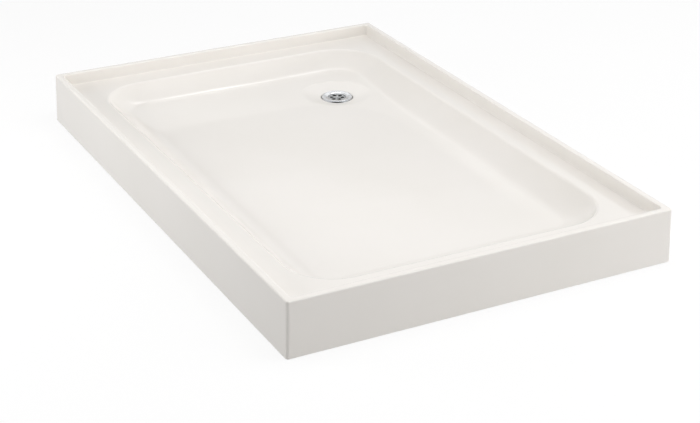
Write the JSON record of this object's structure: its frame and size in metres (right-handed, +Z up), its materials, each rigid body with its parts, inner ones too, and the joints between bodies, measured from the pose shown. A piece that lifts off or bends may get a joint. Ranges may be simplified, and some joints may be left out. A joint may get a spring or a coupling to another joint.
{
  "type": "shower tray",
  "caption": "Rectangular white shower tray with a raised upstand on every side, a flat ledge, a hollow bowl with coved walls and a corner waste with a lift-out strainer.",
  "frame": {"origin": "centre of the footprint, on the floor that the tray beds on", "axes": "+X along the long side, away from the waste end; +Y across, towards the waste side; +Z up"},
  "size_m": [1.2, 0.8, 0.108],
  "materials": {
    "acrylic_sheet": "gloss, formed sheet",
    "cast_stone_resin": "matt, as cast",
    "chromed_brass": "polished plating",
    "black_rubber": "matt",
    "brass_nut": "turned"
  },
  "bodies": {
    "tray": {"tray_shell": "acrylic_sheet", "stone_core": "cast_stone_resin", "waste_body": "chromed_brass", "flange_seal": "black_rubber", "lower_seal": "black_rubber", "backnut": "brass_nut"},
    "strainer": {"strainer_grid": "chromed_brass"}
  },
  "joints": [
    {"name": "strainer_lift", "type": "slide", "parent": "tray", "child": "strainer", "axis": [0, 0, 1], "range_m": [0, 0.12]}
  ]
}
